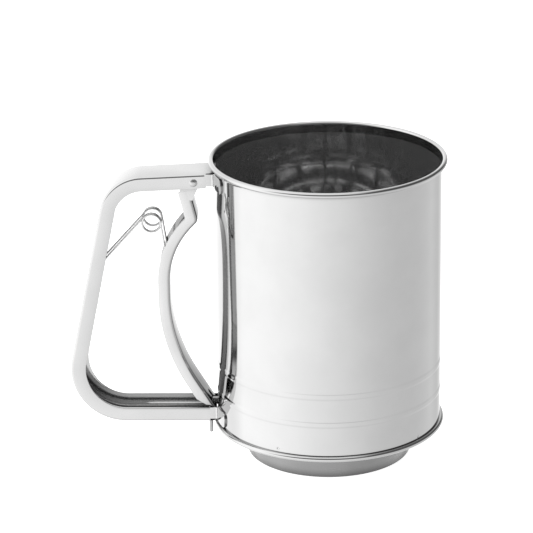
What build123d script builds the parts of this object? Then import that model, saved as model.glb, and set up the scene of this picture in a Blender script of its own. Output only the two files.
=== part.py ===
from build123d import *
import math
import os

# Flour sifter with a squeeze trigger: a steel canister with a screen and agitator in its bottom,
# a U-channel handle, and a trigger that pulls the agitator round through a wire rod.
# Frame: origin on the canister's axis at the bottom of the foot collar, +Z up, handle along -X.
# All lengths are in mm.

# canister
BODY_R = 51.0            # outside of the wall
BODY_WALL = 0.5
BODY_BOTTOM = 16.2
RIM_TOP = 140.0
RIM_RING_R = 52.24       # centre line of the rolled rim
RIM_ROLL_R = 1.23        # outside of the roll's section
RIM_WIRE_R = 0.70
FLARE_FROM = 136.0       # where the wall starts to lean out into the roll
RIB_BANDS = ((29.3, 32.9), (42.5, 46.3))
RIB_HEIGHT = 0.2
WINDOW_WIDTH = 10.0      # opening in the wall for the drive rod
WINDOW_BOTTOM, WINDOW_TOP = 18.5, 27.5
PUNCH_MARKS = ((63.8, 17.9), (142.1, 17.3), (243.0, 17.6), (322.0, 17.6))

# bottom pan, foot collar, screen
PAN_TOP = BODY_BOTTOM
PAN_SHEET = 0.6
BEAD_R = 1.25            # section of the seam bead round the bottom edge
BEAD_RING_R = 51.35
COLLAR_R = 37.3
COLLAR_WALL = 0.6
COLLAR_FLANGE_R = 41.5
SCREEN_R = 40.0
SCREEN_SHEET = 0.5
SCREEN_PITCH = 3.2
SCREEN_HOLE = 2.3
CLAMP_INNER_R, CLAMP_OUTER_R = 37.4, 40.6
CLAMP_HEIGHT = 0.8
BRIDGE_WIDTH = 8.0
BRIDGE_SHEET = 1.0
BRIDGE_LEG_BOTTOM = 7.5

# agitator, on a fixed centre pin
PIN_R = 2.0
PIN_FIT = 0.05           # radial running fit
HUB_BOTTOM, HUB_TOP = 17.5, 21.5
HUB_R = 4.2
HUB_FLANGE_R = 8.0
BLADE_SHEET = 0.8
BLADE_WIDTH = 7.0
BLADE_STACK = 18.4       # underside of the lowest blade
VANE_BOTTOM, VANE_TOP = 17.2, 21.4
VANE_START_R = 12.0
VANE_TALL_TOP = 29.0
BLADE_TIP_R = 46.3
CRANK_R = 25.3
CRANK_PIN_R = 1.25
AGITATOR_REST = 10.5     # angle of the lower blade from +X, trigger released
CRANK_FROM_BLADE = 45.0

# drive rod
ROD_R = 0.9
ROD_Z = 23.0
ROD_LEG_X = -54.2
ROD_LEG_BOTTOM = 6.9
EYE_X, EYE_Y = 14.45, 23.05
EYE_SHEET = 0.8
EYE_SLOT = (3.8, 8.3)
EYE_SIZE = (8.2, 12.8)

# handle: a bent channel, its web outside and its open side inwards
HANDLE_WIDTH = 18.0
HANDLE_SHEET = 0.8
HANDLE_DEPTH = 6.7
HANDLE_WEB = ((-48.0, 134.75), (-98.9, 132.4), (-123.0, 15.4), (-48.0, 15.4))
HANDLE_BENDS = (20.0, 25.0)
HANDLE_EDGE_R = 1.2
TAB_END = 24.2           # degrees round the canister from the handle's plane
ARM_SLOT_WIDTH = 7.4
ARM_SLOT_END = -85.4
ARM_SLOT_LENGTH = 43.0   # long enough to run out at the canister

# trigger: a narrower channel, its web towards the canister and its open side towards the grip
TRIGGER_WIDTH = 14.0
TRIGGER_SHEET = 0.8
TRIGGER_DEPTH = 5.4
TRIGGER_WEB = (
    (-61.6, 126.3), (-58.0, 111.4), (-71.4, 97.4), (-71.4, 54.0), (-51.5, 21.2), (-51.5, 18.2),
)
TRIGGER_BENDS = (3.5, 38.0, 78.0, 2.5)
TRIGGER_EDGE_R = 1.8
PIVOT_X, PIVOT_Z = -59.8, 130.4
PIVOT_R = 1.2
PIVOT_HEAD_R = 1.85
EAR_R = 2.6
ROD_SLOT = (8.6, 3.4)    # in the trigger's web, along and across
ROD_SLOT_MIDDLE = (-53.8, 23.5)

# return spring
SPRING_X, SPRING_Z = -79.2, 110.1
SPRING_R = 4.15
SPRING_WIRE_R = 0.475
SPRING_PITCH = 1.02
SPRING_INNER_Y = 3.05
SPRING_GRIP_END = (-107.1, 85.1)
SPRING_TRIGGER_END = (-72.1, 90.0)
SPRING_STEPS = 34        # straight pieces that one coil is drawn with


def save(name, shape):
    export_step(shape, os.path.join("parts", name + ".step"))


def unit(x, z):
    length = math.hypot(x, z)
    return x / length, z / length


def tube(outer_r, inner_r, bottom, top):
    """Upright ring of rectangular section."""
    ring = Cylinder(outer_r, top - bottom, align=(Align.CENTER, Align.CENTER, Align.MIN))
    hole = Cylinder(inner_r, top - bottom + 2, align=(Align.CENTER, Align.CENTER, Align.MIN))
    return Pos(0, 0, bottom) * (ring - Pos(0, 0, -1) * hole)


def disc(radius, bottom, top):
    """Upright solid cylinder."""
    shape = Cylinder(radius, top - bottom, align=(Align.CENTER, Align.CENTER, Align.MIN))
    return Pos(0, 0, bottom) * shape


def rounded_face(points, radii):
    """Face in the XZ plane; each corner of the polygon gets its own radius, 0 for a sharp one."""
    corners = []
    for index, (x, z) in enumerate(points):
        before, after = points[index - 1], points[(index + 1) % len(points)]
        bx, bz = unit(before[0] - x, before[1] - z)
        ax, az = unit(after[0] - x, after[1] - z)
        half = math.acos(max(-1.0, min(1.0, bx * ax + bz * az))) / 2
        radius = radii[index]
        if radius <= 0:
            corners.append(((x, z), None, (x, z)))
            continue
        reach = radius / math.tan(half)
        mx, mz = unit(bx + ax, bz + az)
        to_arc = radius / math.sin(half) - radius
        enter = (x + bx * reach, z + bz * reach)
        leave = (x + ax * reach, z + az * reach)
        corners.append((enter, (x + mx * to_arc, z + mz * to_arc), leave))
    edges = []
    for index, (enter, middle, leave) in enumerate(corners):
        if middle is not None:
            edges.append(ThreePointArc(*[(x, 0, z) for x, z in (enter, middle, leave)]))
        following = corners[(index + 1) % len(corners)][0]
        if math.dist(leave, following) > 1e-6:
            edges.append(Line((leave[0], 0, leave[1]), (following[0], 0, following[1])))
    return Face(Wire(edges))


def shifted(points, bends, distance):
    """Bent line moved to its left by a distance, with the bend radii that this gives."""
    normals = []
    for (x0, z0), (x1, z1) in zip(points, points[1:]):
        dx, dz = unit(x1 - x0, z1 - z0)
        normals.append((-dz, dx))
    moved = [(points[0][0] + normals[0][0] * distance, points[0][1] + normals[0][1] * distance)]
    radii = []
    for index, bend in enumerate(bends):
        (ax, az), (bx, bz) = normals[index], normals[index + 1]
        scale = distance / (1 + ax * bx + az * bz)
        x, z = points[index + 1]
        moved.append((x + (ax + bx) * scale, z + (az + bz) * scale))
        left_turn = ax * bz - az * bx > 0
        radii.append(max(bend - distance if left_turn else bend + distance, 0.6))
    x, z = points[-1]
    moved.append((x + normals[-1][0] * distance, z + normals[-1][1] * distance))
    return moved, radii


def ribbon(points, bends, near, far, half_width):
    """Solid strip between the bent line shifted by two distances."""
    first, first_radii = shifted(points, bends, near)
    second, second_radii = shifted(points, bends, far)
    outline = first + second[::-1]
    radii = [0] + first_radii + [0, 0] + second_radii[::-1] + [0]
    return extrude(rounded_face(outline, radii), amount=half_width, both=True)


def bend_edges(solid, points, bends, distance, half_width):
    """Long edges of a strip where its web turns into its sides."""
    moved, _ = shifted(points, bends, distance)
    (x0, z0), (x1, z1) = moved[0], moved[1]
    start = Vector((x0 + x1) / 2, 0, (z0 + z1) / 2)
    chain = []
    for side in (-half_width, half_width):
        seed = solid.edges().sort_by_distance(Vector(start.X, side, start.Z))[0]
        chain += on_same_side(solid, side, seed)
    return chain


def on_same_side(solid, side, seed):
    """The seed edge and every edge that continues it smoothly in the plane y = side."""
    flat = [e for e in solid.edges() if all(abs(v.Y - side) < 1e-4 for v in e.vertices())]
    found = [seed]
    grown = True
    while grown:
        grown = False
        for edge in flat:
            if any(edge.is_same(other) for other in found):
                continue
            if any(joins_smoothly(edge, other) for other in found):
                found.append(edge)
                grown = True
    return found


def joins_smoothly(one, other):
    """True when two edges share an end and have the same direction there."""
    for a in (0, 1):
        for b in (0, 1):
            if (one @ a - other @ b).length < 1e-4:
                return abs(abs((one % a).dot(other % b)) - 1) < 1e-4
    return False


def channel(points, bends, width, sheet, depth, edge_r):
    """Bent U-channel; a negative depth puts the sides on the line's right."""
    sign = 1 if depth > 0 else -1
    half = width / 2
    outside = ribbon(points, bends, 0, depth, half)
    outside = fillet(bend_edges(outside, points, bends, 0, half), edge_r)
    inside = ribbon(points, bends, sign * sheet, depth + sign * 2, half - sheet)
    edges = bend_edges(inside, points, bends, sign * sheet, half - sheet)
    return outside - fillet(edges, edge_r - sheet)


def bent_wire(points, bend_r, wire_r):
    """Round wire along straight runs joined by bends."""
    corners = [Vector(*point) for point in points]
    edges = []
    start = corners[0]
    for before, corner, after in zip(corners, corners[1:], corners[2:]):
        back = (before - corner).normalized()
        ahead = (after - corner).normalized()
        half = math.radians(back.get_angle(ahead)) / 2
        reach = bend_r / math.tan(half)
        middle = corner + (back + ahead).normalized() * (bend_r / math.sin(half) - bend_r)
        edges.append(Line(start, corner + back * reach))
        edges.append(ThreePointArc(corner + back * reach, middle, corner + ahead * reach))
        start = corner + ahead * reach
    edges.append(Line(start, corners[-1]))
    path = Wire(edges)
    section = Plane(origin=path @ 0, z_dir=path % 0) * Circle(wire_r)
    return sweep(section, path=path)


def canister_body():
    """Wall with ribs and rolled rim, the rod window and the punch marks."""
    roll_z = RIM_TOP - RIM_ROLL_R
    section = Plane.XZ * Pos(RIM_RING_R, roll_z) * (Circle(RIM_ROLL_R) - Circle(RIM_WIRE_R + 0.03))
    wall = canister_wall(roll_z)
    height = WINDOW_TOP - WINDOW_BOTTOM
    opening = Plane.YZ * Pos(0, (WINDOW_TOP + WINDOW_BOTTOM) / 2) * RectangleRounded(
        WINDOW_WIDTH, height, 1.5
    )
    wall -= Pos(-BODY_R - 2, 0, 0) * extrude(opening, amount=5)
    wall -= [
        Rot(0, 0, 180 + angle) * Pos(BODY_R + 0.35, 0, z) * Sphere(0.7) for angle, z in PUNCH_MARKS
    ]
    return wall + revolve(section, axis=Axis.Z)


def canister_wall(top):
    """Turned sheet that leans out at the top to meet the roll."""
    inner_r = BODY_R - BODY_WALL
    lip_r = RIM_RING_R - RIM_ROLL_R
    lip_outer_r = lip_r + 0.4
    lean_end = FLARE_FROM + 1.9
    upper = (
        (BODY_R, 0, FLARE_FROM), (lip_outer_r, 0, lean_end), (lip_outer_r, 0, top),
        (lip_r, 0, top), (lip_r, 0, lean_end), (inner_r, 0, FLARE_FROM),
    )
    edges = [Line((inner_r, 0, BODY_BOTTOM), (BODY_R, 0, BODY_BOTTOM))]
    edges += wall_line(BODY_R, BODY_BOTTOM, FLARE_FROM)
    edges += [Line(start, end) for start, end in zip(upper, upper[1:])]
    edges += [reversed_edge(edge) for edge in wall_line(inner_r, BODY_BOTTOM, FLARE_FROM)[::-1]]
    return revolve(Face(Wire(edges)), axis=Axis.Z)


def wall_line(radius, bottom, top):
    """One face of the wall as edges from bottom to top, bulging at each rib."""
    edges = []
    start = bottom
    for low, high in RIB_BANDS:
        edges.append(Line((radius, 0, start), (radius, 0, low)))
        middle = (radius + RIB_HEIGHT, 0, (low + high) / 2)
        edges.append(ThreePointArc((radius, 0, low), middle, (radius, 0, high)))
        start = high
    edges.append(Line((radius, 0, start), (radius, 0, top)))
    return edges


def reversed_edge(edge):
    if edge.geom_type == GeomType.LINE:
        return Line(edge @ 1, edge @ 0)
    return ThreePointArc(edge @ 1, edge @ 0.5, edge @ 0)


def rim_wire():
    section = Plane.XZ * Pos(RIM_RING_R, RIM_TOP - RIM_ROLL_R) * Circle(RIM_WIRE_R)
    return revolve(section, axis=Axis.Z)


def bottom_pan():
    """Flat ring under the wall, with the seam bead round its edge."""
    plate = tube(BEAD_RING_R, COLLAR_R - COLLAR_WALL, PAN_TOP - PAN_SHEET, PAN_TOP)
    section = Plane.XZ * Pos(BEAD_RING_R, PAN_TOP - BEAD_R) * Circle(BEAD_R)
    return plate + revolve(section, axis=Axis.Z)


def foot_collar():
    """Short pouring collar that the sifter stands on, flanged under the pan."""
    top = PAN_TOP - PAN_SHEET
    inner_r = COLLAR_R - COLLAR_WALL
    outline = (
        (inner_r, 0), (COLLAR_R, 0), (COLLAR_R, top - COLLAR_WALL),
        (COLLAR_FLANGE_R, top - COLLAR_WALL), (COLLAR_FLANGE_R, top), (inner_r, top),
    )
    return revolve(rounded_face(outline, (0, 0, 0.8, 0.2, 0, 0)), axis=Axis.Z)


def sifting_screen():
    """Screen disc, drawn as a punched sheet with square holes."""
    sheet = Circle(SCREEN_R) - Circle(PIN_R + PIN_FIT)
    limit = COLLAR_R - COLLAR_WALL - SCREEN_HOLE
    count = int(limit / SCREEN_PITCH)
    places = [
        (i * SCREEN_PITCH, j * SCREEN_PITCH)
        for i in range(-count, count + 1)
        for j in range(-count, count + 1)
        if 7.0 < math.hypot(i * SCREEN_PITCH, j * SCREEN_PITCH) < limit
    ]
    sheet -= [Pos(*place) * Rectangle(SCREEN_HOLE, SCREEN_HOLE) for place in places]
    return Pos(0, 0, PAN_TOP) * extrude(sheet, amount=SCREEN_SHEET)


def screen_clamp_ring():
    low = PAN_TOP + SCREEN_SHEET
    high = low + CLAMP_HEIGHT
    outline = (
        (CLAMP_INNER_R, low), (CLAMP_OUTER_R, low), (CLAMP_OUTER_R, high), (CLAMP_INNER_R, high),
    )
    return revolve(rounded_face(outline, (0, 0, 0.35, 0.35)), axis=Axis.Z)


def support_bridge():
    """Strip across the outlet under the screen, its ends turned down inside the collar."""
    inner_r = COLLAR_R - COLLAR_WALL
    strip = disc(inner_r, PAN_TOP - BRIDGE_SHEET, PAN_TOP) & Box(200, BRIDGE_WIDTH, 100)
    legs = tube(inner_r, inner_r - BRIDGE_SHEET, BRIDGE_LEG_BOTTOM, PAN_TOP)
    legs &= Box(200, BRIDGE_WIDTH, 100)
    return strip + legs - disc(PIN_R, 0, 40)


def pivot_pin():
    """Headed pin that stands up through bridge, screen and hub."""
    under = PAN_TOP - BRIDGE_SHEET
    pin = disc(PIN_R, under, 25.0) + disc(4.0, under - 1.6, under)
    edges = pin.edges().filter_by(GeomType.CIRCLE).sort_by(Axis.Z)[0]
    return fillet(edges, 0.6)


def centre_washer():
    return tube(5.0, PIN_R + PIN_FIT, PAN_TOP + SCREEN_SHEET, HUB_BOTTOM - 0.1)


def retaining_washer():
    return tube(3.8, PIN_R + PIN_FIT, HUB_TOP + 0.1, HUB_TOP + 0.7)


def cap_nut():
    """Domed hexagon nut on top of the pivot pin."""
    low = HUB_TOP + 0.7
    hexagon = extrude(Pos(0, 0, low) * RegularPolygon(3.4, 6), amount=2.6)
    dome = Pos(0, 0, low + 2.2) * Sphere(2.75)
    dome -= Pos(0, 0, low - 2.8) * Box(20, 20, 10)
    return hexagon + dome - disc(PIN_R, 0, 25.0)


def agitator_hub():
    """Flanged sleeve that turns on the pivot pin."""
    hub = disc(HUB_R, HUB_BOTTOM, HUB_TOP) + disc(HUB_FLANGE_R, HUB_BOTTOM, BLADE_STACK)
    return hub - disc(PIN_R + PIN_FIT, 0, 40) - hub_rivet_holes()


def hub_rivet_places():
    return [Rot(0, 0, AGITATOR_REST + angle) * Pos(6.1, 0, 0) for angle in (135, 315)]


def hub_rivet_holes():
    return [place * disc(0.9, 0, 40) for place in hub_rivet_places()]


def hub_rivets():
    top = BLADE_STACK + 3 * BLADE_SHEET
    shapes = []
    for place in hub_rivet_places():
        head = disc(1.5, top, top + 0.5)
        shapes.append(place * (disc(0.9, HUB_BOTTOM, top) + head))
    return Compound(children=shapes)


def agitator_blade(level, angle):
    """Strip right across the canister, with an upturned vane on one edge of each arm."""
    bottom = BLADE_STACK + level * BLADE_SHEET
    half = BLADE_WIDTH / 2
    low = VANE_BOTTOM
    ring_r = CLAMP_INNER_R - 1.0
    outline = (
        (VANE_START_R, low), (ring_r, low), (ring_r, low + 0.7), (BLADE_TIP_R, low + 0.7),
        (BLADE_TIP_R, VANE_TALL_TOP), (38.5, VANE_TALL_TOP), (36.6, VANE_TOP),
        (VANE_START_R, VANE_TOP),
    )
    radii = (0, 0, 0, 0.8, 3.0, 2.0, 1.0, 1.5)
    vane = extrude(rounded_face(outline, radii), amount=BLADE_SHEET / 2, both=True)
    vane = Pos(0, BLADE_SHEET / 2 - half, 0) * vane
    strip = Pos(BLADE_TIP_R / 2, 0, bottom + BLADE_SHEET / 2) * Box(
        BLADE_TIP_R, BLADE_WIDTH, BLADE_SHEET
    )
    arm = strip + vane
    blade = arm + Rot(0, 0, 180) * arm + disc(HUB_FLANGE_R, bottom, bottom + BLADE_SHEET)
    blade = Rot(0, 0, AGITATOR_REST + angle) * blade
    return blade - disc(HUB_R, 0, 40) - hub_rivet_holes()


def crank_place():
    return Rot(0, 0, AGITATOR_REST + CRANK_FROM_BLADE) * Pos(CRANK_R, 0, 0)


def crank_arm():
    """Third layer on the hub: one arm that carries the crank pin."""
    bottom = BLADE_STACK + 2 * BLADE_SHEET
    top = bottom + BLADE_SHEET
    strip = Pos(CRANK_R / 2, 0, bottom + BLADE_SHEET / 2) * Box(CRANK_R, BLADE_WIDTH, BLADE_SHEET)
    strip = Rot(0, 0, AGITATOR_REST + CRANK_FROM_BLADE) * strip
    arm = strip + disc(HUB_FLANGE_R, bottom, top) + crank_place() * disc(BLADE_WIDTH / 2, bottom, top)
    return arm - disc(HUB_R, 0, 40) - hub_rivet_holes() - crank_place() * disc(CRANK_PIN_R, 0, 40)


def crank_pin():
    """Headed pin with a shoulder, riveted into the crank arm."""
    bottom = BLADE_STACK + 2 * BLADE_SHEET
    shoulder = bottom + BLADE_SHEET
    pin = disc(CRANK_PIN_R, bottom, 23.8) + disc(2.2, shoulder, ROD_Z - 0.7)
    return crank_place() * (pin + disc(2.9, ROD_Z + 0.8, ROD_Z + 1.6))


def drive_rod():
    """Wire from the hook behind the trigger, through the wall, to the eye plate."""
    eye_side = EYE_X - EYE_SIZE[0] / 2
    points = (
        (ROD_LEG_X, 0, ROD_LEG_BOTTOM), (ROD_LEG_X, 0, ROD_Z), (EYE_X - 24.0, 0, ROD_Z),
        (EYE_X - 8.0, EYE_Y, ROD_Z), (eye_side, EYE_Y, ROD_Z),
    )
    return bent_wire(points, 1.6, ROD_R)


def rod_eye():
    """Plate with a long eye that lets the crank pin swing sideways."""
    plate = RectangleRounded(*EYE_SIZE, 2.0) - SlotOverall(EYE_SLOT[1], EYE_SLOT[0], rotation=90)
    return Pos(EYE_X, EYE_Y, ROD_Z - EYE_SHEET / 2) * extrude(plate, amount=EYE_SHEET)


def handle_tab(side, bottom, top, upper_r, lower_r):
    """Ear of the handle, turned out against the canister wall and rounded at its end."""
    start = math.degrees(math.asin((HANDLE_WIDTH / 2 - HANDLE_SHEET) / BODY_R))
    section = Plane.XZ * Pos(BODY_R + HANDLE_SHEET / 2, (bottom + top) / 2) * Rectangle(
        HANDLE_SHEET, top - bottom
    )
    tab = revolve(section, axis=Axis.Z, revolution_arc=TAB_END - start)
    end = [e for e in tab.edges().filter_by(GeomType.LINE) if abs(e.length - HANDLE_SHEET) < 1e-3]
    end = [e for e in end if math.degrees(math.atan2(e.center().Y, e.center().X)) > 1]
    low, high = sorted(end, key=lambda e: e.center().Z)
    tab = fillet(high, upper_r)
    end = [e for e in tab.edges().filter_by(GeomType.LINE) if abs(e.length - HANDLE_SHEET) < 1e-3]
    end = [e for e in end if math.degrees(math.atan2(e.center().Y, e.center().X)) > 1]
    tab = fillet(min(end, key=lambda e: e.center().Z), lower_r)
    tab = Rot(0, 0, 180 + start) * tab
    return tab if side > 0 else mirror(tab, about=Plane.XZ)


def handle_channel():
    """D-shaped grip: bent channel with four tabs on the wall and a slot in its lower arm."""
    handle = channel(
        HANDLE_WEB, HANDLE_BENDS, HANDLE_WIDTH, HANDLE_SHEET, HANDLE_DEPTH, HANDLE_EDGE_R
    )
    handle -= disc(BODY_R, -10, 200)
    handle -= disc(BEAD_RING_R + BEAD_R + 0.15, 0, PAN_TOP + 0.15)
    slot = extrude(SlotOverall(ARM_SLOT_LENGTH, ARM_SLOT_WIDTH), amount=10)
    handle -= Pos(ARM_SLOT_END + ARM_SLOT_LENGTH / 2, 0, 10) * slot
    for side in (-1, 1):
        handle += handle_tab(side, 128.7, 135.4, 2.6, 2.0)
        handle += handle_tab(side, 16.6, 24.0, 2.6, 2.6)
        handle -= Pos(PIVOT_X, side * HANDLE_WIDTH / 2, PIVOT_Z) * Rot(90, 0, 0) * Cylinder(PIVOT_R, 4)
    return handle


def trigger():
    """Squeeze lever with two pivot ears and a slot for the drive rod."""
    half = TRIGGER_WIDTH / 2
    body = channel(
        TRIGGER_WEB, TRIGGER_BENDS, TRIGGER_WIDTH, TRIGGER_SHEET, -TRIGGER_DEPTH, TRIGGER_EDGE_R
    )
    below = (
        (-63.6, 27.6), (-53.2, 21.0), (-52.35, 20.2), (-52.35, 14.0), (-75.0, 14.0), (-75.0, 27.6),
    )
    body -= extrude(rounded_face(below, (2.0, 0, 0, 0, 0, 0)), amount=20, both=True)
    outline = (
        (-65.5, 121.5), (-60.4, 121.5), (-57.2, 129.0), (-57.2, 133.0), (-62.4, 133.0), (-66.4, 125.3),
    )
    ear = extrude(rounded_face(outline, (0, 0, 3.0, 2.4, 2.4, 0)), amount=half, both=True)
    ear -= Box(400, TRIGGER_WIDTH - 2 * TRIGGER_SHEET, 400)
    body += ear
    plane = Plane(
        origin=(ROD_SLOT_MIDDLE[0], 0, ROD_SLOT_MIDDLE[1]),
        x_dir=(0.53, 0, -0.848),
        z_dir=(-0.848, 0, -0.53),
    )
    body -= extrude(plane * SlotOverall(*ROD_SLOT), amount=3, both=True)
    return body - Pos(PIVOT_X, 0, PIVOT_Z) * Rot(90, 0, 0) * Cylinder(PIVOT_R + PIN_FIT, 40)


def pivot_rivet():
    """Rivet through both sides of the upper arm, with low domed heads."""
    half = HANDLE_WIDTH / 2
    rivet = Cylinder(PIVOT_R, HANDLE_WIDTH)
    for side in (-1, 1):
        head = Pos(0, 0, side * (half + 0.35)) * Cylinder(PIVOT_HEAD_R, 0.7)
        outer = head.edges().filter_by(GeomType.CIRCLE).sort_by(Axis.Z)
        rivet += fillet(outer[-1] if side > 0 else outer[0], 0.5)
    return Pos(PIVOT_X, 0, PIVOT_Z) * Rot(90, 0, 0) * rivet


def pivot_washers():
    """Spacers between the trigger's ears and the sides of the arm."""
    half = TRIGGER_WIDTH / 2
    gap = (HANDLE_WIDTH - 2 * HANDLE_SHEET - TRIGGER_WIDTH) / 2
    ring = tube(EAR_R, PIVOT_R + PIN_FIT, 0.1, gap - 0.1)
    shapes = []
    for side in (-1, 1):
        shapes.append(Pos(PIVOT_X, side * half, PIVOT_Z) * Rot(-90 * side, 0, 0) * ring)
    return Compound(children=shapes)


def spring_path():
    """Centre line of one half of the spring, from the middle of its cross bar to its free end."""
    centre = Vector(SPRING_X, 0, SPRING_Z)
    grip = Vector(SPRING_GRIP_END[0], SPRING_INNER_Y, SPRING_GRIP_END[1])
    enter = tangent_angle(centre, grip, -1)
    leave = tangent_angle(centre, Vector(SPRING_TRIGGER_END[0], 0, SPRING_TRIGGER_END[1]), 1)
    leave -= 6 * math.pi
    points = [Vector(grip.X, 0, grip.Z), grip]
    for step in range(SPRING_STEPS):
        angle = enter + (leave - enter) * (step + 0.5) / SPRING_STEPS
        y = SPRING_INNER_Y + SPRING_PITCH * (enter - angle) / (2 * math.pi)
        points.append(on_coil(angle, y))
    points.append(Vector(SPRING_TRIGGER_END[0], points[-1].Y, SPRING_TRIGGER_END[1]))
    return Wire(Polyline(*points).edges())


def tangent_angle(centre, point, turn):
    """Angle on the coil where a straight leg to a point leaves it."""
    dx, dz = point.X - centre.X, point.Z - centre.Z
    return math.atan2(dz, dx) + turn * math.acos(SPRING_R / math.hypot(dx, dz))


def on_coil(angle, y):
    return Vector(SPRING_X + SPRING_R * math.cos(angle), y, SPRING_Z + SPRING_R * math.sin(angle))


def return_spring():
    """Double torsion spring: two coils joined by a cross bar that bears in the grip."""
    path = spring_path()
    section = Plane(origin=path @ 0, z_dir=path % 0) * Circle(SPRING_WIRE_R)
    half = sweep(section, path=path, transition=Transition.RIGHT)
    return half + mirror(half, about=Plane.XZ)


os.makedirs("parts", exist_ok=True)
save("canister_body", canister_body())
save("rim_wire", rim_wire())
save("bottom_pan", bottom_pan())
save("foot_collar", foot_collar())
save("sifting_screen", sifting_screen())
save("screen_clamp_ring", screen_clamp_ring())
save("support_bridge", support_bridge())
save("pivot_pin", pivot_pin())
save("centre_washer", centre_washer())
save("retaining_washer", retaining_washer())
save("cap_nut", cap_nut())
save("handle_channel", handle_channel())
save("trigger", trigger())
save("pivot_rivet", pivot_rivet())
save("pivot_washers", pivot_washers())
save("return_spring", return_spring())
save("drive_rod", drive_rod())
save("rod_eye", rod_eye())
save("agitator_hub", agitator_hub())
save("lower_blade", agitator_blade(0, 0))
save("upper_blade", agitator_blade(1, 90))
save("crank_arm", crank_arm())
save("crank_pin", crank_pin())
save("hub_rivets", hub_rivets())
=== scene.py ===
import math

import bmesh
import bpy
from mathutils import Matrix, Vector


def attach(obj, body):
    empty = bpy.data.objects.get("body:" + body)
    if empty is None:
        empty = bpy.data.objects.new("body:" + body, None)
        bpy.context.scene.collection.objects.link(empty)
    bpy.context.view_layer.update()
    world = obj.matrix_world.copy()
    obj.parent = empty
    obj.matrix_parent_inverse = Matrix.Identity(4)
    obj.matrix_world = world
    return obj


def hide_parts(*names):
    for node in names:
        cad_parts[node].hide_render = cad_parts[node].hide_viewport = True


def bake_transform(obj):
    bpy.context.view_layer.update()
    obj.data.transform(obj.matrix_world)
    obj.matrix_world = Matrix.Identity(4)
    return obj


# Looks of the flour sifter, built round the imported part. Shapes are worked out in mm and turned
# into metres when their mesh is made. Frame: canister's axis along Z, handle along -X.
MM = 0.001
SHARP = 35    # degrees that an edge may turn before it is left crisp

# canister
BODY_R, BODY_WALL = 51.0, 0.5
BODY_BOTTOM, RIM_TOP = 16.2, 139.99
RIM_RING_R, RIM_ROLL_R = 52.24, 1.222
FLARE_FROM = 136.0
INNER_FLARE_FROM = 118.0    # the inner face leans out slowly, so it shows no band
RIB_BANDS = ((29.3, 32.9), (42.5, 46.3))
RIB_HEIGHT, RIB_STEP = 0.17, 0.36
WINDOW_WIDTH, WINDOW_BOTTOM, WINDOW_TOP = 10.0, 18.5, 27.5
PUNCH_MARKS = ((63.8, 17.9), (142.1, 17.3), (243.0, 17.6), (322.0, 17.6))
TURNED_SEGMENTS = 256

# bottom pan, foot collar, screen
PAN_SHEET = 0.6
BEAD_R, BEAD_RING_R = 1.25, 51.35
COLLAR_R, COLLAR_WALL, COLLAR_FLANGE_R = 37.3, 0.6, 41.5
SCREEN_PITCH, SCREEN_WIRE_R = 1.6, 0.16
SCREEN_Z = 16.42
SCREEN_R = 39.8
CLAMP_INNER_R, CLAMP_OUTER_R, CLAMP_HEIGHT = 37.4, 40.6, 0.8

# handle
HANDLE_WIDTH, HANDLE_SHEET, HANDLE_DEPTH = 18.0, 0.8, 6.7
HANDLE_WEB = ((-48.0, 134.75), (-98.9, 132.4), (-123.0, 15.4), (-48.0, 15.4))
HANDLE_BENDS = (20.0, 25.0)
HANDLE_EDGE_R = 1.2
ARM_SLOT_WIDTH, ARM_SLOT_END = 7.4, -85.4
FLANGE_END_X = -54.2      # where the sides of the handle begin to turn out into their tabs
TAB_BEND_R = 1.5
TAB_END = 24.2            # degrees round the canister
TABS = ((128.7, 135.4, 2.6, 2.0), (16.6, 24.0, 2.6, 2.6))

# trigger
TRIGGER_WIDTH, TRIGGER_SHEET, TRIGGER_DEPTH = 14.0, 0.8, 5.4
TRIGGER_WEB = (
    (-61.6, 126.3), (-58.0, 111.4), (-71.4, 97.4), (-71.4, 54.0), (-51.5, 21.2), (-51.5, 18.2),
)
TRIGGER_BENDS = (3.5, 38.0, 78.0, 2.5)
TRIGGER_EDGE_R = 1.8
TRIGGER_TRIM = (
    (-63.6, 27.6), (-53.2, 21.0), (-52.35, 20.2), (-52.35, 14.0), (-75.0, 14.0), (-75.0, 27.6),
)
EAR_OUTLINE = (
    (-65.5, 121.5), (-60.4, 121.5), (-57.2, 129.0), (-57.2, 133.0), (-62.4, 133.0), (-66.4, 125.3),
)
EAR_RADII = (0.3, 0.3, 3.0, 2.4, 2.4, 0.3)
ROD_SLOT, ROD_SLOT_MIDDLE = (8.6, 3.4), (-53.8, 23.5)
PIVOT_X, PIVOT_Z = -59.8, 130.4
PIVOT_R, PIVOT_HEAD_R = 1.2, 1.85

# return spring and drive rod
SPRING_X, SPRING_Z = -79.2, 110.1
SPRING_R, SPRING_WIRE_R, SPRING_PITCH = 4.15, 0.475, 1.02
SPRING_INNER_Y = 3.05
SPRING_GRIP_END = (-107.1, 85.1)
SPRING_TRIGGER_END = (-72.1, 90.0)
ROD_R, ROD_Z, ROD_LEG_X, ROD_LEG_BOTTOM = 0.9, 23.0, -54.2, 6.9
ROD_JOG = ((-9.55, 0.0), (6.45, 23.05), (10.35, 23.05))

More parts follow.
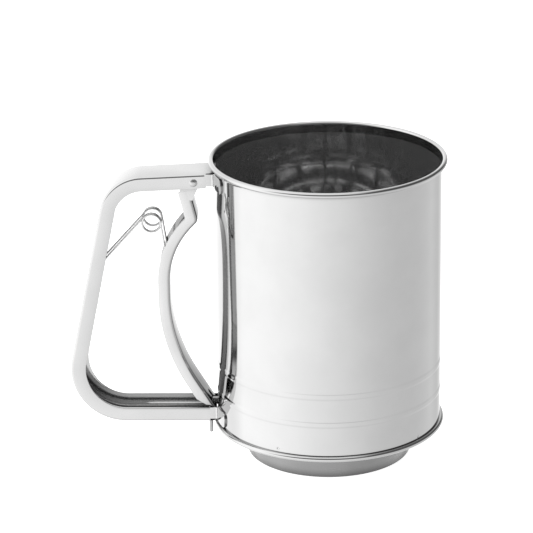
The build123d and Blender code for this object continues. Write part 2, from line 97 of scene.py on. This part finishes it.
# Bare steels: name, two shades, roughness, grain of the scratches, height of waves and of scratches
# in mm, metallic, and how far in mm the painted shade in crevices reaches
STEELS = (
    ("polished_canister", (0.520, 0.540), (0.035, 0.075), (1, 1, 0.04), 0.012, 0.0004, 1.0, 16.0),
    ("canister_inside", (0.78, 0.82), (0.03, 0.06), (1, 1, 0.04), 0.012, 0.0003, 0.95, 5.0),
    ("polished_pan", (0.52, 0.55), (0.06, 0.12), (1, 1, 8), 0.006, 0.0006, 1.0, 5.0),
    # painted shade: the collar's low shades darken it for the shadow under the pan and on the table
    ("satin_collar", (0.27, 0.30), (0.16, 0.28), (0.2, 0.2, 12), 0.004, 0.004, 1.0, 5.0),
    ("screen_wire", (0.50, 0.60), (0.25, 0.38), (1, 1, 1), 0.0, 0.001, 1.0, 5.0),
    ("plain_steel", (0.50, 0.54), (0.18, 0.30), (1, 1, 1), 0.002, 0.002, 1.0, 5.0),
    ("polished_handle", (0.54, 0.57), (0.06, 0.14), (6, 1, 0.4), 0.012, 0.0010, 1.0, 16.0),
    ("polished_trigger", (0.55, 0.59), (0.06, 0.15), (6, 1, 0.4), 0.012, 0.0012, 1.0, 30.0),
    ("spring_wire", (0.64, 0.70), (0.10, 0.18), (1, 1, 1), 0.0, 0.001, 1.0, 5.0),
    ("rod_wire", (0.34, 0.40), (0.16, 0.26), (1, 1, 1), 0.0, 0.001, 1.0, 5.0),
    ("agitator_steel", (0.66, 0.72), (0.12, 0.20), (1, 8, 1), 0.004, 0.003, 1.0, 5.0),
)
CLOUD_SCALE, SCRATCH_SCALE, WAVE_SCALE = 55.0, 900.0, 38.0
CREVICE_SHADE = 0.25      # painted shade: what is left of the colour in the deepest crevice

# studio surround: its level, and how that changes in its parts
LEVEL, LEVEL_TOWARDS_RIGHT = 1.33, -0.45
BEHIND_CAP = 1.42
RIGHT_CORNER, HIGH_BEHIND, ROOM_IN_FRONT = -0.38, -0.16, -0.85
BELOW_LEVEL = 0.80

# camera
LENS = 197.33
DISTANCE = 1320.4
ELEVATION, ROLL, TURN = 20.139, -0.694, 1.5
AIM = (-27.87, 0.0, 87.75)


# ---------------------------------------------------------------- mesh helpers

def mesh_object(name, verts, faces, sharp=SHARP):
    """Object from points in mm; edges that turn more than `sharp` degrees are left crisp."""
    mesh = bpy.data.meshes.new(name)
    mesh.from_pydata([[c * MM for c in vert] for vert in verts], [], faces)
    work = bmesh.new()
    work.from_mesh(mesh)
    bmesh.ops.recalc_face_normals(work, faces=work.faces)
    work.to_mesh(mesh)
    work.free()
    crisp(mesh, sharp)
    thing = bpy.data.objects.new(name, mesh)
    bpy.context.scene.collection.objects.link(thing)
    return thing


def crisp(mesh, sharp):
    mesh.shade_smooth()
    mesh.set_sharp_from_angle(angle=math.radians(sharp))


def skin(name, rings, loop=False, sharp=SHARP):
    """Closed sections joined in turn: into a loop, or with flat ends."""
    count = len(rings[0])
    verts = [point for ring in rings for point in ring]
    faces = []
    for i in range(len(rings) if loop else len(rings) - 1):
        a, b = i * count, (i + 1) % len(rings) * count
        for j in range(count):
            k = (j + 1) % count
            faces.append((a + j, a + k, b + k, b + j))
    if not loop:
        faces.append(tuple(range(count)))
        faces.append(tuple(range(len(verts) - count, len(verts))))
    return mesh_object(name, verts, faces, sharp)


def turned(name, outline, segments=TURNED_SEGMENTS, sharp=SHARP):
    """Closed outline of (radius, height) points turned about Z."""
    rings = []
    for step in range(segments):
        angle = 2 * math.pi * step / segments
        rings.append([(r * math.cos(angle), r * math.sin(angle), z) for r, z in outline])
    return skin(name, rings, loop=True, sharp=sharp)


def tube(name, points, radius, sides=16):
    """Round wire along points, its two ends slightly rounded over."""
    points = [Vector(point) for point in points]
    across = None
    rings = []
    for index, point in enumerate(points):
        ahead = points[min(index + 1, len(points) - 1)] - points[max(index - 1, 0)]
        ahead.normalize()
        across = ahead.orthogonal() if across is None else across - ahead * across.dot(ahead)
        across.normalize()
        if index == 0:
            rings += rounded_end(point, across, ahead, radius, sides, 1)
        rings.append(circle(point, across, ahead, radius, sides))
        if index == len(points) - 1:
            rings += rounded_end(point, across, ahead, radius, sides, -1)[::-1]
    return skin(name, rings)


def circle(centre, across, ahead, radius, sides):
    other = ahead.cross(across)
    turns = [2 * math.pi * side / sides for side in range(sides)]
    return [centre + (across * math.cos(t) + other * math.sin(t)) * radius for t in turns]


def rounded_end(point, across, ahead, radius, sides, sign):
    rings = []
    for lift in (0.42, 0.25, 0.1):
        centre = point - ahead * sign * radius * lift
        shrink = math.sqrt(max(0.0, 1 - (lift / 0.45) ** 2)) * 0.5 + 0.5
        rings.append(circle(centre, across, ahead, radius * shrink, sides))
    return rings


def bent(points, radii, steps=12):
    """Straight runs with an arc of its own radius at each corner."""
    corners = [Vector(point) for point in points]
    path = [corners[0]]
    for before, corner, after, radius in zip(corners, corners[1:], corners[2:], radii):
        back = (before - corner).normalized()
        ahead = (after - corner).normalized()
        half = back.angle(ahead) / 2
        reach = radius / math.tan(half)
        centre = corner + (back + ahead).normalized() * (radius / math.sin(half))
        first = (corner + back * reach - centre).normalized()
        last = (corner + ahead * reach - centre).normalized()
        path += [centre + first.slerp(last, step / steps) * radius for step in range(steps + 1)]
    path.append(corners[-1])
    return path


def rounded_outline(points, radii, steps=8):
    """Closed outline in the XZ plane with a radius at each corner."""
    closed = [points[-1], *points, points[0]]
    corners = [(x, 0, z) for x, z in closed]
    path = bent(corners, radii, steps)[1:-1]
    return [(point.x, point.z) for point in path]


def prism(name, outline, y_from, y_to):
    """XZ outline drawn out along Y."""
    return skin(name, [[(x, y, z) for x, z in outline] for y in (y_from, y_to)])


def carve(thing, cutters):
    """Cuts the cutters out of a thing and throws them away."""
    for cutter in cutters:
        change = thing.modifiers.new("cut", "BOOLEAN")
        change.operation = "DIFFERENCE"
        change.solver = "EXACT"
        change.object = cutter
    depsgraph = bpy.context.evaluated_depsgraph_get()
    mesh = bpy.data.meshes.new_from_object(thing.evaluated_get(depsgraph))
    thing.modifiers.clear()
    thing.data = mesh
    crisp(mesh, SHARP)
    for cutter in cutters:
        bpy.data.objects.remove(cutter)


def joined(name, things):
    """One object from several, their meshes left as they are."""
    work = bmesh.new()
    for thing in things:
        work.from_mesh(thing.data)
        bpy.data.objects.remove(thing)
    mesh = bpy.data.meshes.new(name)
    work.to_mesh(mesh)
    work.free()
    crisp(mesh, SHARP)
    made = bpy.data.objects.new(name, mesh)
    bpy.context.scene.collection.objects.link(made)
    return made


def mirrored(points):
    return [(x, -y, z) for x, y, z in points]


# ---------------------------------------------------------------- turned pieces

def half_turn(start, steps=16):
    """Evenly spaced angles over half a turn."""
    return [start + math.pi * step / steps for step in range(steps + 1)]


def arc(centre, radius, start, end, steps):
    """Points of an arc in the outline plane, angles in degrees."""
    points = []
    for step in range(steps + 1):
        angle = math.radians(start + (end - start) * step / steps)
        points.append((centre[0] + radius * math.cos(angle), centre[1] + radius * math.sin(angle)))
    return points


def wall_side(radius):
    """One face of the canister's wall from the bottom to the flare, bulging at each rib."""
    points = [(radius, BODY_BOTTOM), (radius, BODY_BOTTOM + 0.8), (radius, BODY_BOTTOM + 2.6)]
    for low, high in RIB_BANDS:
        points.append((radius, low - 0.15))
        for step in range(25):
            part = step / 24
            points.append((radius + rib_rise(part), low + (high - low) * part))
        points.append((radius, high + 0.15))
    points.append((radius, 80.0))
    return points


def rib_rise(part):
    """How far a rib stands out, that far across it: a flat top between two soft steps."""
    step = min(part, 1 - part, RIB_STEP) / RIB_STEP
    return RIB_HEIGHT * step * step * (3 - 2 * step)


def flare(inner, outer, low, high):
    """Smooth lean of the wall from one radius to another."""
    points = []
    for step in range(13):
        part = step / 12
        ease = part * part * (3 - 2 * part)
        points.append((inner + (outer - inner) * ease, low + (high - low) * part))
    return points


def canister():
    centre = (RIM_RING_R, RIM_TOP - RIM_ROLL_R)
    lip = RIM_RING_R - RIM_ROLL_R
    outer = wall_side(BODY_R) + flare(BODY_R, lip + 0.35, FLARE_FROM, centre[1] - 0.95)
    roll = arc(centre, RIM_ROLL_R, -130, 180, 40)
    inner_r = BODY_R - BODY_WALL
    inner = wall_side(inner_r) + flare(inner_r, lip - 0.01, INNER_FLARE_FROM, centre[1] - 0.3)
    body = turned("canister_body_looks", outer + roll + inner[::-1])
    low, high = WINDOW_BOTTOM, WINDOW_TOP
    half = WINDOW_WIDTH / 2
    corners = ((-half, low), (half, low), (half, high), (-half, high))
    outline = rounded_outline(corners, (1.5,) * 4)
    rings = [[(x, across, z) for across, z in outline] for x in (-BODY_R - 3, -BODY_R + 4)]
    carve(body, [skin("window", rings)] + [punch(*mark) for mark in PUNCH_MARKS])
    return body


def punch(angle, z):
    """Cutter for a small dent in the wall."""
    ball = turned("punch", arc((0, 0), 0.7, -88, 88, 10), 20)
    turn = math.radians(180 + angle)
    place = Vector(((BODY_R + 0.3) * math.cos(turn), (BODY_R + 0.3) * math.sin(turn), z))
    ball.data.transform(Matrix.Translation(place * MM))
    return ball


def dull_inside(body, material):
    """Second finish for the faces on the inner side of the wall."""
    body.data.materials.append(material)
    limit = (BODY_R - 0.02) * MM
    for face in body.data.polygons:
        centre = face.center
        if math.hypot(centre.x, centre.y) < limit and centre.z < (RIM_TOP - RIM_ROLL_R) * MM:
            face.material_index = 1


def pan():
    centre = (BEAD_RING_R, BODY_BOTTOM - BEAD_R)
    start = 180 - math.degrees(math.asin((BEAD_R - PAN_SHEET) / BEAD_R))
    bead = arc(centre, BEAD_R, start, 450, 44)
    inner_r = COLLAR_R - COLLAR_WALL
    low = BODY_BOTTOM - PAN_SHEET
    return turned("bottom_pan_looks", [(inner_r, BODY_BOTTOM), (inner_r, low), (45.0, low)] + bead)


def collar():
    top = BODY_BOTTOM - PAN_SHEET
    inner_r = COLLAR_R - COLLAR_WALL
    outline = [(inner_r, 0.0), (COLLAR_R - 0.12, 0.0), (COLLAR_R, 0.12)]
    corner = (COLLAR_R + 0.8, top - COLLAR_WALL - 0.8)
    outline += arc(corner, 0.8, 180, 90, 8)
    outline += [(COLLAR_FLANGE_R, top - COLLAR_WALL), (COLLAR_FLANGE_R, top), (inner_r, top)]
    return turned("foot_collar_looks", outline, sharp=50)


def clamp_ring():
    low = SCREEN_Z + 0.28
    high = low + CLAMP_HEIGHT
    outline = [(CLAMP_INNER_R, low), (CLAMP_OUTER_R, low)]
    outline += arc((CLAMP_OUTER_R - 0.35, high - 0.35), 0.35, 0, 90, 5)
    outline += arc((CLAMP_INNER_R + 0.35, high - 0.35), 0.35, 90, 180, 5)
    return turned("screen_clamp_ring_looks", outline)


def woven_wire(offset, phase, along_x):
    """One wire of the screen, passing over and under the wires that cross it."""
    reach = math.sqrt(SCREEN_R ** 2 - offset ** 2)
    steps = int(2 * reach / (SCREEN_PITCH / 4))
    points = []
    for step in range(steps + 1):
        place = -reach + 2 * reach * step / steps
        lift = SCREEN_WIRE_R * 0.95 * math.cos(math.pi * place / SCREEN_PITCH + phase)
        spot = (place, offset) if along_x else (offset, place)
        points.append((*spot, SCREEN_Z + lift))
    return points


def screen():
    """Plain-woven wire cloth across the outlet."""
    count = int(SCREEN_R / SCREEN_PITCH)
    wires = []
    for index in range(-count, count + 1):
        offset = index * SCREEN_PITCH
        turn = math.pi * index
        wires.append(tube("warp", woven_wire(offset, turn, True), SCREEN_WIRE_R, 6))
        wires.append(tube("weft", woven_wire(offset, turn + math.pi, False), SCREEN_WIRE_R, 6))
    return joined("sifting_screen_looks", wires)


def pivot():
    """Rivet with two low domed heads, across the upper arm."""
    half = HANDLE_WIDTH / 2
    dome = arc((0, half + 0.7 - 2.9), 2.9, 90, 90 - math.degrees(math.asin(1.7 / 2.9)), 6)
    outline = [(0.02, half + 0.7)] + dome[1:]
    outline += [(PIVOT_HEAD_R, half + 0.02), (PIVOT_R, half), (PIVOT_R, 0.0)]
    outline += [(r, -z) for r, z in outline[::-1][1:]]
    rivet = turned("pivot_rivet_looks", outline, 48)
    rivet.data.transform(Matrix.Rotation(math.pi / 2, 4, "X"))
    rivet.data.transform(Matrix.Translation((PIVOT_X * MM, 0, PIVOT_Z * MM)))
    return rivet


# ---------------------------------------------------------------- bent sheet pieces

def shifted(points, bends, distance):
    """Bent line moved to its left by a distance, with the bend radii that this gives."""
    normals = []
    for (x0, z0), (x1, z1) in zip(points, points[1:]):
        length = math.hypot(x1 - x0, z1 - z0)
        normals.append((-(z1 - z0) / length, (x1 - x0) / length))
    moved = [(points[0][0] + normals[0][0] * distance, points[0][1] + normals[0][1] * distance)]
    radii = []
    for index, bend in enumerate(bends):
        (ax, az), (bx, bz) = normals[index], normals[index + 1]
        scale = distance / (1 + ax * bx + az * bz)
        x, z = points[index + 1]
        moved.append((x + (ax + bx) * scale, z + (az + bz) * scale))
        left_turn = ax * bz - az * bx > 0
        radii.append(max(bend - distance if left_turn else bend + distance, 0.6))
    x, z = points[-1]
    moved.append((x + normals[-1][0] * distance, z + normals[-1][1] * distance))
    return moved, radii


def channel_section(width, sheet, depth, edge_r):
    """Closed U of (depth, across) points, its bends and the tips of its sides rounded."""
    half = width / 2
    tip = 0.16
    side = [(depth - tip, half), (depth - tip * 0.3, half - tip * 0.3), (depth, half - tip)]
    side += [(depth, half - sheet + tip), (depth - tip * 0.3, half - sheet + tip * 0.3)]
    side += [(depth - tip, half - sheet)]
    outer = arc((edge_r, half - edge_r), edge_r, 180, 90, 7)
    inner = arc((edge_r, half - edge_r), edge_r - sheet, 90, 180, 5)
    upper = outer + side + inner
    return upper + [(d, -y) for d, y in upper[::-1]]


def channel_rings(line, bends, section, side):
    """Sections of a bent channel, one at each end and several round each bend."""
    columns = []
    for depth, across in section:
        moved, radii = shifted(line, bends, side * depth)
        path = bent([(x, 0, z) for x, z in moved], radii, steps=24)
        columns.append([(point.x, across, point.z) for point in path])
    return [list(ring) for ring in zip(*columns)]


def meet_wall(ring, inward):
    """End section slid along its run so that the web meets the wall and the sides stop short."""
    met = []
    for (x, y, z), (nx, _, nz) in zip(ring, inward):
        if abs(y) > HANDLE_WIDTH / 2 - HANDLE_EDGE_R + 0.01:
            target = FLANGE_END_X
        else:
            radius = BEAD_RING_R + BEAD_R + 0.15 if z < BODY_BOTTOM + 0.15 else BODY_R
            target = -math.sqrt(radius ** 2 - y ** 2)
        met.append((target, y, z + (target - x) * (nz - z) / (nx - x)))
    return met


def tab(side, bottom, top, upper_r, lower_r):
    """Ear that turns out of a side of the handle and lies round the canister's wall."""
    middle = HANDLE_WIDTH / 2 - HANDLE_SHEET / 2
    wall_r = BODY_R + HANDLE_SHEET / 2
    centre_y = middle + TAB_BEND_R
    centre_x = -math.sqrt((wall_r + TAB_BEND_R) ** 2 - centre_y ** 2)
    first = math.degrees(math.asin(centre_y / (wall_r + TAB_BEND_R)))
    plan = [((FLANGE_END_X - 0.6, middle), (0, 1))]
    for step in range(9):
        angle = math.radians(-90 + (90 - first) * step / 8)
        normal = (math.cos(angle), math.sin(angle))
        spot = (centre_x + TAB_BEND_R * normal[0], centre_y + TAB_BEND_R * normal[1])
        plan.append((spot, (-normal[0], -normal[1])))
    reach = math.radians(TAB_END - first) * wall_r
    for step in range(1, 25):
        angle = math.radians(first + (TAB_END - first) * step / 24)
        normal = (-math.cos(angle), math.sin(angle))
        plan.append(((wall_r * normal[0], wall_r * normal[1]), normal))
    rings = []
    for index, ((x, y), (nx, ny)) in enumerate(plan):
        left = reach * (len(plan) - 1 - index) / 24
        grown = min(1.0, max(0.0, (index - 4) / 10))
        high = top - corner_drop(upper_r, left) - (1 - grown) * max(0.0, top - flange_top(bottom))
        low = bottom + corner_drop(lower_r, left)
        rings.append(tab_section(x, y, nx, ny, low, high, side))
    return skin("tab", rings)


def flange_top(bottom):
    """Upper edge of the handle's side where this tab leaves it."""
    if bottom < 100:
        return HANDLE_WEB[-1][1] + HANDLE_DEPTH
    return HANDLE_WEB[0][1] - 0.5


def corner_drop(radius, left):
    """How far a rounded corner has fallen away, that far from the end."""
    if left >= radius:
        return 0.0
    return radius - math.sqrt(radius ** 2 - (radius - left) ** 2)


def tab_section(x, y, nx, ny, low, high, side):
    """Upright section through a tab: a thin rectangle with its corners eased."""
    half, ease = HANDLE_SHEET / 2 - 0.005, 0.14
    outline = [
        (half, low + ease), (half, high - ease), (half - ease, high), (ease - half, high),
        (-half, high - ease), (-half, low + ease), (ease - half, low), (half - ease, low),
    ]
    return [(x + nx * out, side * (y + ny * out), z) for out, z in outline]


def handle():
    section = channel_section(HANDLE_WIDTH, HANDLE_SHEET, HANDLE_DEPTH, HANDLE_EDGE_R)
    rings = channel_rings(HANDLE_WEB, HANDLE_BENDS, section, 1)
    rings[0] = meet_wall(rings[0], rings[1])
    rings[-1] = meet_wall(rings[-1], rings[-2])
    grip = skin("grip", rings)
    half = ARM_SLOT_WIDTH / 2
    end = ARM_SLOT_END + half
    slot = [(end + half * math.cos(a), half * math.sin(a)) for a in half_turn(math.pi / 2)]
    slot += [(-45.0, -half), (-45.0, half)]
    rings = [[(x, y, z) for x, y in slot] for z in (10.0, 20.0)]
    carve(grip, [skin("slot", rings)])
    tabs = [tab(side, *sizes) for side in (1, -1) for sizes in TABS]
    return joined("handle_channel_looks", [grip, *tabs])


def trigger():
    section = channel_section(TRIGGER_WIDTH, TRIGGER_SHEET, TRIGGER_DEPTH, TRIGGER_EDGE_R)
    body = skin("lever", channel_rings(TRIGGER_WEB, TRIGGER_BENDS, section, -1))
    trim = rounded_outline(TRIGGER_TRIM, (2.0, 0.2, 0.2, 0.2, 0.2, 0.2))
    carve(body, [prism("trim", trim, -12, 12), rod_slot()])
    outline = rounded_outline(EAR_OUTLINE, EAR_RADII)
    half = TRIGGER_WIDTH / 2 - 0.01
    inner = half - TRIGGER_SHEET + 0.02
    ears = [prism("ear", outline, inner, half), prism("ear", outline, -half, -inner)]
    return joined("trigger_looks", [body, *ears])


def rod_slot():
    """Cutter for the long hole in the foot of the trigger."""
    along = Vector((0.53, 0, -0.848))
    through = Vector((-0.848, 0, -0.53))
    centre = Vector((ROD_SLOT_MIDDLE[0], 0, ROD_SLOT_MIDDLE[1]))
    half = ROD_SLOT[1] / 2
    straight = ROD_SLOT[0] / 2 - half
    outline = [(straight + half * math.sin(t), half * math.cos(t)) for t in half_turn(0)]
    outline += [(-straight - half * math.sin(t), -half * math.cos(t)) for t in half_turn(0)]
    rings = []
    for depth in (-3, 3):
        rings.append([centre + through * depth + along * u + Vector((0, v, 0)) for u, v in outline])
    return skin("hole", rings)


# ---------------------------------------------------------------- wire pieces

def spring_half():
    """Centre line of half the spring, from the middle of its cross bar to its free end."""
    grip_x, grip_z = SPRING_GRIP_END
    end_x, end_z = SPRING_TRIGGER_END
    enter = tangent_angle(grip_x, grip_z, -1)
    leave = tangent_angle(end_x, end_z, 1) - 6 * math.pi
    coil = []
    steps = 110
    for step in range(steps + 1):
        angle = enter + (leave - enter) * step / steps
        y = SPRING_INNER_Y + SPRING_PITCH * (enter - angle) / (2 * math.pi)
        x = SPRING_X + SPRING_R * math.cos(angle)
        coil.append((x, y, SPRING_Z + SPRING_R * math.sin(angle)))
    corner = [(grip_x, 0.0, grip_z), (grip_x, SPRING_INNER_Y, grip_z), coil[0]]
    return [tuple(point) for point in bent(corner, (1.1,), 8)[:-1]] + coil + [
        (end_x, coil[-1][1], end_z)
    ]


def tangent_angle(x, z, turn):
    dx, dz = x - SPRING_X, z - SPRING_Z
    return math.atan2(dz, dx) + turn * math.acos(SPRING_R / math.hypot(dx, dz))


def spring():
    half = spring_half()
    path = mirrored(half[::-1]) + half[1:]
    return tube("return_spring_looks", path, SPRING_WIRE_R, 16)


def rod():
    points = [(ROD_LEG_X, 0, ROD_LEG_BOTTOM), (ROD_LEG_X, 0, ROD_Z)]
    points += [(x, y, ROD_Z) for x, y in ROD_JOG]
    return tube("drive_rod_looks", bent(points, (1.6,) * 3, 10), ROD_R, 20)


# ---------------------------------------------------------------- materials

class Nodes:
    """Short way to add nodes to a tree and link them."""

    def __init__(self, tree):
        self.tree = tree

    def add(self, kind, **settings):
        node = self.tree.nodes.new(kind)
        for name, value in settings.items():
            setattr(node, name, value)
        return node

    def link(self, source, target):
        self.tree.links.new(source, target)

    def calc(self, operation, *values, clamp=False):
        node = self.add("ShaderNodeMath", operation=operation, use_clamp=clamp)
        for socket, value in zip(node.inputs, values):
            if isinstance(value, (int, float)):
                socket.default_value = value
            else:
                self.link(value, socket)
        return node.outputs[0]

    def span(self, value, low, high, to_low, to_high):
        node = self.add("ShaderNodeMapRange", interpolation_type="SMOOTHSTEP")
        self.link(value, node.inputs["Value"])
        for name, number in (
            ("From Min", low), ("From Max", high), ("To Min", to_low), ("To Max", to_high),
        ):
            node.inputs[name].default_value = number
        return node.outputs["Result"]

    def noise(self, place, scale, stretch=(1, 1, 1), detail=3.0):
        mapping = self.add("ShaderNodeMapping")
        mapping.inputs["Scale"].default_value = stretch
        self.link(place, mapping.inputs["Vector"])
        node = self.add("ShaderNodeTexNoise")
        node.inputs["Scale"].default_value = scale
        node.inputs["Detail"].default_value = detail
        self.link(mapping.outputs["Vector"], node.inputs["Vector"])
        return node.outputs["Fac"]


def steel(name, shades, roughness, grain, wave, scratch, metallic, reach):
    """Bare steel: two close shades, uneven gloss, slow waves of the sheet and fine scratches, with
    shade painted into the colour in crevices.
    """
    material = bpy.data.materials.new(name)
    material.use_nodes = True
    nodes = Nodes(material.node_tree)
    shader = material.node_tree.nodes["Principled BSDF"]
    shader.inputs["Metallic"].default_value = metallic
    place = nodes.add("ShaderNodeTexCoord").outputs["Object"]
    cloud = nodes.noise(place, CLOUD_SCALE)
    fine = nodes.noise(place, SCRATCH_SCALE, grain, 6.0)
    tint = nodes.add("ShaderNodeMix", data_type="RGBA")
    nodes.link(nodes.span(cloud, 0.3, 0.7, 0.0, 1.0), tint.inputs["Factor"])
    tint.inputs["A"].default_value = grey(shades[0])
    tint.inputs["B"].default_value = grey(shades[1])
    # painted shade: ambient occlusion darkens the colour in crevices and where parts meet
    crevice = nodes.add("ShaderNodeAmbientOcclusion", samples=8)
    crevice.inputs["Distance"].default_value = reach * MM
    nodes.link(tint.outputs["Result"], crevice.inputs["Color"])
    painted_crevice_shade = nodes.add("ShaderNodeMix", data_type="RGBA", blend_type="MULTIPLY")
    painted_crevice_shade.inputs["Factor"].default_value = 1.0
    nodes.link(tint.outputs["Result"], painted_crevice_shade.inputs["A"])
    painted_shade_factor = nodes.span(crevice.outputs["AO"], 0.0, 0.9, CREVICE_SHADE, 1.0)
    nodes.link(painted_shade_factor, painted_crevice_shade.inputs["B"])
    nodes.link(painted_crevice_shade.outputs["Result"], shader.inputs["Base Color"])
    gloss = nodes.calc("ADD", nodes.calc("MULTIPLY", cloud, 0.4), nodes.calc("MULTIPLY", fine, 0.6))
    nodes.link(nodes.span(gloss, 0.3, 0.7, *roughness), shader.inputs["Roughness"])
    slow = nodes.noise(place, WAVE_SCALE, (1, 1, 0.35), 1.0)
    relief = nodes.calc(
        "ADD", nodes.calc("MULTIPLY", slow, wave), nodes.calc("MULTIPLY", fine, scratch)
    )
    bump = nodes.add("ShaderNodeBump")
    bump.inputs["Strength"].default_value = 1.0
    bump.inputs["Distance"].default_value = MM
    nodes.link(relief, bump.inputs["Height"])
    nodes.link(bump.outputs["Normal"], shader.inputs["Normal"])
    return material


def grey(value):
    return (value, value, value, 1)


def paint(thing, material):
    thing.data.materials.clear()
    thing.data.materials.append(material)


# ---------------------------------------------------------------- studio

def world_light():
    """Soft surround: brighter on the left, duller below, and a dim room up in front."""
    world = bpy.data.worlds.new("studio")
    bpy.context.scene.world = world
    world.use_nodes = True
    nodes = Nodes(world.node_tree)
    place = nodes.add("ShaderNodeTexCoord").outputs["Generated"]
    parts = nodes.add("ShaderNodeSeparateXYZ")
    nodes.link(place, parts.inputs[0])
    x, y, z = parts.outputs
    level = nodes.calc("ADD", nodes.calc("MULTIPLY", x, LEVEL_TOWARDS_RIGHT), LEVEL)
    level = nodes.calc("MINIMUM", level, nodes.span(y, -0.1, 0.5, 1.9, BEHIND_CAP))
    corner = nodes.calc("MULTIPLY", nodes.span(x, 0.0, 0.5, 0, 1), nodes.span(y, 0.55, 0.9, 0, 1))
    level = nodes.calc("ADD", level, nodes.calc("MULTIPLY", corner, RIGHT_CORNER))
    high = nodes.calc("MULTIPLY", nodes.span(z, 0.1, 0.4, 0, 1), nodes.span(y, 0.3, 0.8, 0, 1))
    level = nodes.calc("ADD", level, nodes.calc("MULTIPLY", high, HIGH_BEHIND))
    level = nodes.calc("MULTIPLY", level, nodes.span(z, -0.95, -0.45, BELOW_LEVEL, 1.0))
    raised = nodes.span(z, -0.10, 0.10, 0.0, 1.0)
    towards = nodes.calc("MINIMUM", nodes.calc("ADD", y, 0.2), nodes.calc("MULTIPLY", x, -1.0))
    front = nodes.span(towards, -0.62, -0.12, 1.0, 0.0)
    room = nodes.calc("MULTIPLY", nodes.calc("MULTIPLY", raised, front), ROOM_IN_FRONT)
    level = nodes.calc("MULTIPLY", level, nodes.calc("ADD", room, 1.0))
    shade = nodes.add("ShaderNodeCombineColor")
    for socket in shade.inputs:
        nodes.link(level, socket)
    background = world.node_tree.nodes["Background"]
    seen = nodes.add("ShaderNodeLightPath").outputs["Is Camera Ray"]
    mix = nodes.add("ShaderNodeMix", data_type="RGBA")
    nodes.link(seen, mix.inputs["Factor"])
    nodes.link(shade.outputs[0], mix.inputs["A"])
    mix.inputs["B"].default_value = (1, 1, 1, 1)
    nodes.link(mix.outputs["Result"], background.inputs["Color"])


def floor():
    """Plain white table top that the sifter stands on."""
    half = 3000.0
    corners = [(-half, -half, 0), (half, -half, 0), (half, half, 0), (-half, half, 0)]
    table = mesh_object("floor", corners, [(0, 1, 2, 3)])
    material = bpy.data.materials.new("white_table")
    material.use_nodes = True
    shader = material.node_tree.nodes["Principled BSDF"]
    shader.inputs["Base Color"].default_value = (0.9, 0.9, 0.9, 1)
    shader.inputs["Roughness"].default_value = 0.9
    shader.inputs["Emission Color"].default_value = (1, 1, 1, 1)
    shader.inputs["Emission Strength"].default_value = 0.9
    paint(table, material)
    table.visible_glossy = False


def camera():
    forward = Vector((0, math.cos(math.radians(ELEVATION)), -math.sin(math.radians(ELEVATION))))
    right = Vector((1, 0, 0))
    up = right.cross(forward)
    roll = math.radians(ROLL)
    image_right = right * math.cos(roll) + up * math.sin(roll)
    image_up = up * math.cos(roll) - right * math.sin(roll)
    spin = Matrix.Rotation(math.radians(TURN), 4, "Z")
    pose = Matrix((image_right, image_up, -forward)).transposed().to_4x4()
    pose.translation = (Vector(AIM) - forward * DISTANCE) * MM
    data = bpy.data.cameras.new("camera")
    data.lens = LENS
    data.sensor_width = 36.0
    data.clip_start, data.clip_end = 0.05, 50.0
    eye = bpy.data.objects.new("camera", data)
    bpy.context.scene.collection.objects.link(eye)
    eye.matrix_world = spin @ pose
    bpy.context.scene.camera = eye


# ---------------------------------------------------------------- build

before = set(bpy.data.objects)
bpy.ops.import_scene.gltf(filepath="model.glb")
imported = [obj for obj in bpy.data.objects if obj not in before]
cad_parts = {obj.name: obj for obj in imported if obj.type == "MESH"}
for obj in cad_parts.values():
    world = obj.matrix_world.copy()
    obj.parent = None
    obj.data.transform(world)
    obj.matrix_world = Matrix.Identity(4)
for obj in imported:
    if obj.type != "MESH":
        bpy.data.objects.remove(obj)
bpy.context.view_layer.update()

FINISHES = {row[0]: steel(*row) for row in STEELS}

PIECES = (
    (canister, "frame", "canister_body", "polished_canister"),
    (pan, "frame", "bottom_pan", "polished_pan"),
    (collar, "frame", "foot_collar", "satin_collar"),
    (clamp_ring, "frame", "screen_clamp_ring", "plain_steel"),
    (screen, "frame", "sifting_screen", "screen_wire"),
    (pivot, "frame", "pivot_rivet", "plain_steel"),
    (handle, "frame", "handle_channel", "polished_handle"),
    (trigger, "squeeze_trigger", "trigger", "polished_trigger"),
    (rod, "rod", "drive_rod", "rod_wire"),
)
for make, body, node, slot in PIECES:
    piece = make()
    paint(piece, FINISHES[slot])
    if make is canister:
        dull_inside(piece, FINISHES["canister_inside"])
    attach(piece, body)
    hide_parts(node)

coil = spring()
paint(coil, FINISHES["spring_wire"])
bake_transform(coil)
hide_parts("return_spring")

KEPT = {
    "rim_wire": "plain_steel", "support_bridge": "plain_steel", "pivot_pin": "plain_steel",
    "centre_washer": "plain_steel", "retaining_washer": "plain_steel", "cap_nut": "plain_steel",
    "pivot_washers": "plain_steel", "rod_eye": "rod_wire", "agitator_hub": "agitator_steel",
    "lower_blade": "agitator_steel", "upper_blade": "agitator_steel",
    "crank_arm": "agitator_steel", "crank_pin": "plain_steel", "hub_rivets": "plain_steel",
}
for node, slot in KEPT.items():
    paint(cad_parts[node], FINISHES[slot])

world_light()
floor()
camera()
bpy.context.scene.view_settings.view_transform = "Standard"
